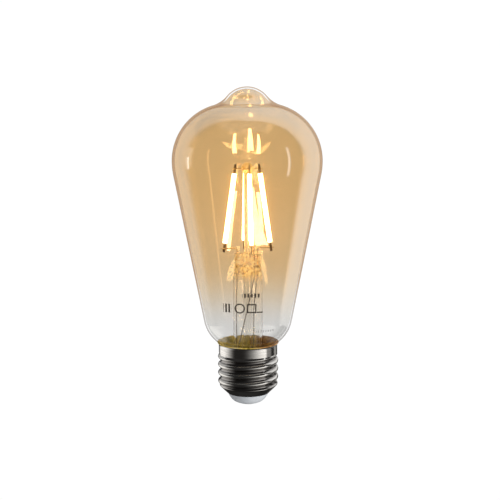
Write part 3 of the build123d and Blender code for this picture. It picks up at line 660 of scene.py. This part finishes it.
def make_shell():
    """The plated screw shell, from its geometry tree and a sheet thickness."""
    low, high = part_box("cap_shell")
    piece = bpy.data.objects.new("screw_shell", bpy.data.meshes.new("screw_shell"))
    bpy.context.scene.collection.objects.link(piece)
    roll = piece.modifiers.new("roll", "NODES")
    roll.node_group = shell_tree(FINISHES["nickel"])
    heights = {
        "Foot Height": low.z, "Rim Height": high.z,
        "Thread Foot": THREAD_FOOT_Z, "Thread Top": THREAD_TOP_Z,
    }
    for item in roll.node_group.interface.items_tree:
        if item.name in heights:
            roll[item.identifier] = heights[item.name]
    sheet = piece.modifiers.new("sheet", "SOLIDIFY")
    sheet.thickness = SHELL
    sheet.offset = -1.0
    sheet.use_even_offset = True
    bpy.context.view_layer.update()
    made = bpy.data.meshes.new_from_object(piece.evaluated_get(bpy.context.evaluated_depsgraph_get()))
    piece.modifiers.clear()
    piece.data = made
    crisp(piece, 50)
    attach(piece, "root")
    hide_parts("cap_shell")


# ---- Stage, light and camera ----
STUDIO_WHITE = 1.02
SCREEN_RADIUS = 48 * MM
SCREEN_FOOT_Z = -90 * MM
SCREEN_TOP_Z = 19 * MM
SCREEN_SIDES = 96


def make_floor():
    """A plain floor, as bright as the studio behind it but dimmer in the light that it gives the lamp."""
    m = Finish("pale_floor")
    seen = m.add("ShaderNodeLightPath", output="Is Diffuse Ray")
    strength = STUDIO_WHITE - seen * 0.52
    m.add_output(m.add("ShaderNodeEmission", None, {"Color": opaque(1.0), "Strength": strength}))
    half = 3.0
    corners = [(-half, -half, 0), (half, -half, 0), (half, half, 0), (-half, half, 0)]
    mesh = bpy.data.meshes.new("floor")
    mesh.from_pydata(corners, [], [(0, 1, 2, 3)])
    mesh.materials.append(m.material)
    floor = bpy.data.objects.new("floor", mesh)
    bpy.context.scene.collection.objects.link(floor)
    floor.visible_glossy = False


def make_world():
    """A white studio: plain white to look at, with a bright back and thin side lights to light the lamp."""
    world = bpy.data.worlds.new("studio")
    bpy.context.scene.world = world
    world.use_nodes = True
    w = Nodes(world.node_tree)
    x, y, z = w.split(w.add("ShaderNodeTexCoord"))
    bearing = w.bearing(x, y)
    back = w.smooth(bearing, 92, 106) + w.smooth(bearing, -98, -122)
    back = back * w.smooth(z, -0.62, -0.45) * (w.smooth(x, -0.6, 0.3) * 0.36 + 0.52)
    left = w.window(bearing, -150, -96, 5) * w.window(z, -0.1, 0.3, 0.05) * 0.5
    right_strip = w.window(bearing, 66, 69.5, 1) * w.window(z, -0.32, 0.40, 0.05) * 1.6
    left_strip = w.window(bearing, -106, -102, 1) * w.window(z, -0.14, 0.10, 0.03) * 2.4
    astern = w.window(w.maths("ABSOLUTE", bearing), 164, 190, 4) * w.smooth(z, 0.12, 0.02) * 0.85
    top = w.smooth(z, 0.84, 0.92) * 0.16
    light = w.maths("MAXIMUM", w.maths("MAXIMUM", left, back), right_strip + left_strip + top)
    light = light * (1.0 - astern) + 0.025
    rays = w.add("ShaderNodeLightPath")
    outputs = rays.socket.node.outputs
    straight_on, through_glass = (Wire(w, outputs[name]) for name in ("Is Camera Ray", "Is Transmission Ray"))
    plainly = w.maths("MAXIMUM", straight_on, through_glass)
    strength = light * (1.0 - plainly) + plainly * STUDIO_WHITE
    glow = w.add("ShaderNodeBackground", None, {"Color": opaque(1.0), "Strength": strength})
    sink = world.node_tree.nodes.new("ShaderNodeOutputWorld")
    world.node_tree.links.new(glow.socket, sink.inputs["Surface"])


def make_low_screen():
    """A low round screen that only the cap mirrors: black, with soft lit panels at its sides."""
    m = Finish("low_screen")
    x, y, z = m.split(m.place)
    bearing = m.bearing(x, y)
    left = m.smooth(bearing, -144, -118) * m.smooth(bearing, -46, -100) * 1.2
    right = m.smooth(bearing, -30, 60) ** 2.0 * m.smooth(bearing, 72, 62) * 1.25
    right = right + m.window(bearing, 64, 90, 6) * 0.25
    edge = m.window(bearing, 112, 126, 6) * 0.45 + m.window(bearing, 144, 158, 6) * 0.5
    light = (left + right + edge) * m.smooth(z, -34 * MM, 2 * MM) + 0.02
    m.add_output(m.add("ShaderNodeEmission", None, {"Color": opaque((1.0, 0.985, 0.96)), "Strength": light}))
    verts = []
    for step in range(SCREEN_SIDES):
        angle = 2 * math.pi * step / SCREEN_SIDES
        spot = (SCREEN_RADIUS * math.cos(angle), SCREEN_RADIUS * math.sin(angle))
        verts += [(*spot, SCREEN_FOOT_Z), (*spot, SCREEN_TOP_Z)]
    faces = []
    for step in range(SCREEN_SIDES):
        here, after = 2 * step, 2 * ((step + 1) % SCREEN_SIDES)
        faces.append((here, here + 1, after + 1, after))
    mesh = bpy.data.meshes.new("low_screen")
    mesh.from_pydata(verts, [], faces)
    mesh.materials.append(m.material)
    screen = bpy.data.objects.new("low_screen", mesh)
    bpy.context.scene.collection.objects.link(screen)
    for rays in ("camera", "diffuse", "transmission", "shadow"):
        setattr(screen, f"visible_{rays}", False)


def make_side_light():
    """A soft light low on the right, for the insulator and the cement. It isn't mirrored."""
    data = bpy.data.lights.new("side_light", "AREA")
    data.shape = "DISK"
    data.size = 120 * MM
    data.energy = 0.5
    light = bpy.data.objects.new("side_light", data)
    light.location = (220 * MM, -160 * MM, 30 * MM)
    aim = Vector((0, 0, 12 * MM))
    light.rotation_euler = (aim - light.location).to_track_quat("-Z", "Y").to_euler()
    light.visible_glossy = False
    light.visible_camera = False
    bpy.context.scene.collection.objects.link(light)


def make_camera():
    """The camera: a little above the lamp's middle, in front of it."""
    distance = 400 * MM
    pitch = math.radians(7.5)
    aim = Vector((1.25 * MM, 0, 67.4 * MM))
    data = bpy.data.cameras.new("camera")
    data.sensor_width = 36.0
    data.lens = 66.9
    data.clip_start = 10 * MM
    camera = bpy.data.objects.new("camera", data)
    camera.location = aim + Vector((0, -math.cos(pitch), math.sin(pitch))) * distance
    roll = math.radians(0.25)
    camera.rotation_euler = (math.pi / 2 - pitch, roll, 0)
    bpy.context.scene.collection.objects.link(camera)
    bpy.context.scene.camera = camera


def make_halo():
    """The soft warm halo that the lit filaments leave in a lens."""
    scene = bpy.context.scene
    scene.use_nodes = True
    c = Nodes(scene.node_tree)
    picture = c.add("CompositorNodeRLayers")
    halo = c.add(
        "CompositorNodeGlare", {"glare_type": "BLOOM", "quality": "HIGH"},
        {
            "Image": picture, "Threshold": 1.5, "Smoothness": 0.3, "Clamp": True, "Maximum": 6.0,
            "Strength": 0.30, "Saturation": 1.0, "Tint": opaque((1.0, 0.62, 0.24)), "Size": 0.3,
        },
    )
    sink = scene.node_tree.nodes.new("CompositorNodeComposite")
    scene.node_tree.links.new(halo.socket, sink.inputs["Image"])


make_bulb()
make_shell()
for node_name, node in NODES.items():
    finish = finish_of(node_name)
    if finish:
        node.data.materials.clear()
        node.data.materials.append(finish)
make_floor()
make_low_screen()
make_side_light()
make_world()
make_camera()
bpy.context.scene.view_settings.view_transform = "Standard"
bpy.context.scene.cycles.sample_clamp_indirect = 30.0
make_halo()
